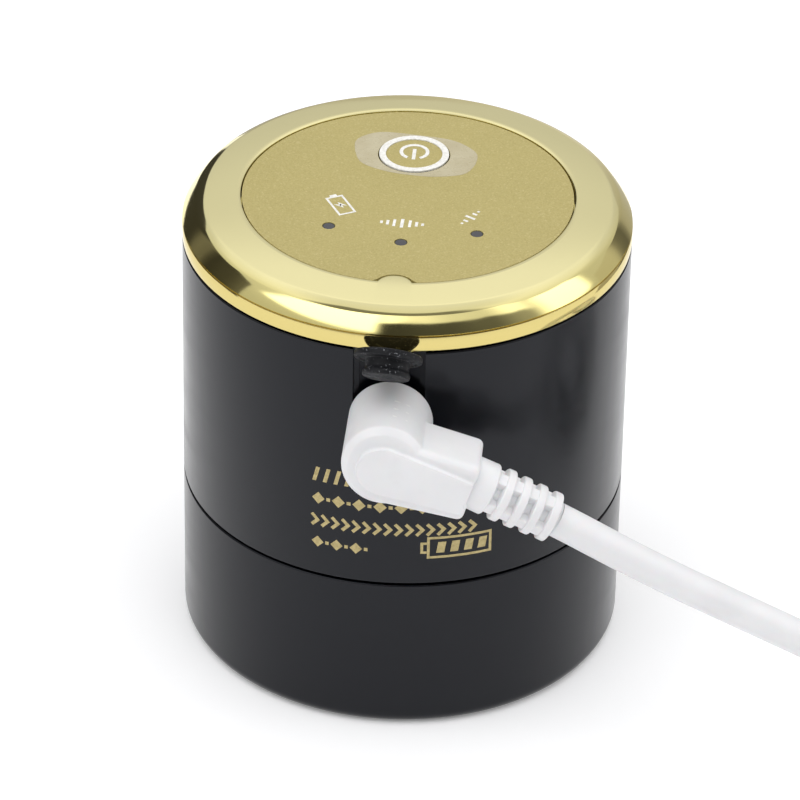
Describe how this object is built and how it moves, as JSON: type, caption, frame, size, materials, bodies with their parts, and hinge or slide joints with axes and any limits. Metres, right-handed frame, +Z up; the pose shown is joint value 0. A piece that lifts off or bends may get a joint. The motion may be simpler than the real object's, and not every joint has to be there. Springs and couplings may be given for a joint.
{
  "type": "facial cleansing brush",
  "caption": "Round facial cleansing brush standing brush-down on its travel cap, with a push button on top and an angled charging lead plugged into its side.",
  "frame": {"origin": "centre of the travel cap's flat underside, which stands on the surface", "axes": "+Z up along the body's axis; -Y through the charging port; +X to the side the plug's arm and cord leave by"},
  "size_m": [0.1618, 0.0664, 0.06],
  "materials": {
    "black_gloss": "polished black ABS",
    "gold_plate": "vacuum-plated mirror gold over plastic",
    "gold_paint": "fine-grained matte gold paint",
    "window": "smoked light pipe",
    "black_rubber": "soft matte rubber",
    "white_pvc": "moulded white PVC",
    "white_plastic": "smooth white plastic",
    "grey_plastic": "moulded grey ABS",
    "steel": "plain steel",
    "brass": "turned brass",
    "circuit_green": "solder mask on glass-fibre board",
    "chip_black": "moulded epoxy",
    "cell_wrap": "shrink sleeve",
    "wire_red": "PVC insulation",
    "wire_black": "PVC insulation",
    "bristle": "fine nylon bristle"
  },
  "bodies": {
    "travel_cap": {"travel_cap": "black_gloss"},
    "housing": {"housing_sleeve": "black_gloss", "gold_trim_ring": "gold_plate", "control_panel": "gold_paint", "led_window_charge": "window", "led_window_high": "window", "led_window_low": "window", "base_plate": "black_gloss", "cap_seal_ring": "black_rubber", "hub_seal": "black_rubber", "base_screw_1": "steel", "base_screw_2": "steel", "base_screw_3": "steel", "inner_chassis": "grey_plastic", "battery_cell": "cell_wrap", "battery_tab_left": "steel", "battery_tab_right": "steel", "battery_wire_red": "wire_red", "battery_wire_black": "wire_black", "motor_wire_red": "wire_red", "motor_wire_black": "wire_black", "jack_wire_red": "wire_red", "jack_wire_black": "wire_black", "control_pcb": "circuit_green", "tact_switch": "chip_black", "mcu_chip": "chip_black", "charge_ic": "chip_black", "filter_capacitor": "steel", "led_chip_charge": "white_plastic", "led_chip_high": "white_plastic", "led_chip_low": "white_plastic", "pcb_screw_1": "steel", "pcb_screw_2": "steel", "pcb_screw_3": "steel", "dc_jack_body": "chip_black", "dc_jack_pin": "brass", "drive_hub": "grey_plastic", "stopper_anchor": "black_rubber", "motor_can": "steel", "motor_bracket": "grey_plastic", "bracket_screw_1": "steel", "bracket_screw_2": "steel"},
    "power_button": {"button_cap": "gold_paint", "switch_plunger": "white_plastic"},
    "motor_rotor": {"motor_shaft": "steel", "eccentric_weight": "steel"},
    "brush_head": {"brush_disc": "white_plastic", "bristle_field_outer": "bristle", "bristle_field_inner": "bristle"},
    "stopper": {"port_stopper": "black_rubber"},
    "charging_lead": {"plug_head": "white_pvc", "plug_barrel": "steel", "strain_relief": "white_pvc", "cord_lead": "white_pvc", "cord_coil": "white_pvc", "coil_tie": "white_plastic", "cord_tail": "white_pvc", "usb_overmold": "white_pvc", "usb_shell": "steel", "usb_tongue": "white_plastic"}
  },
  "joints": [
    {"name": "housing_lift", "type": "slide", "parent": "travel_cap", "child": "housing", "axis": [0, 0, 1], "range_m": [0, 0.03]},
    {"name": "button_press", "type": "slide", "parent": "housing", "child": "power_button", "axis": [0, 0, -1], "range_m": [0, 0.0004], "stiffness_N_per_m": 2000},
    {"name": "brush_twist", "type": "hinge", "parent": "housing", "child": "brush_head", "pos_m": [0, 0, 0.0136], "axis": [0, 0, 1], "range_deg": [0, 30]},
    {"name": "motor_spin", "type": "hinge", "parent": "housing", "child": "motor_rotor", "pos_m": [0, 0, 0.0255], "axis": [0, 0, 1], "continuous": true},
    {"name": "stopper_flip", "type": "hinge", "parent": "housing", "child": "stopper", "pos_m": [0, -0.02725, 0.05325], "axis": [-1, 0, 0], "range_deg": [0, 22]},
    {"name": "plug_pull", "type": "slide", "parent": "housing", "child": "charging_lead", "axis": [0, -1, 0], "range_m": [0, 0.012]}
  ]
}
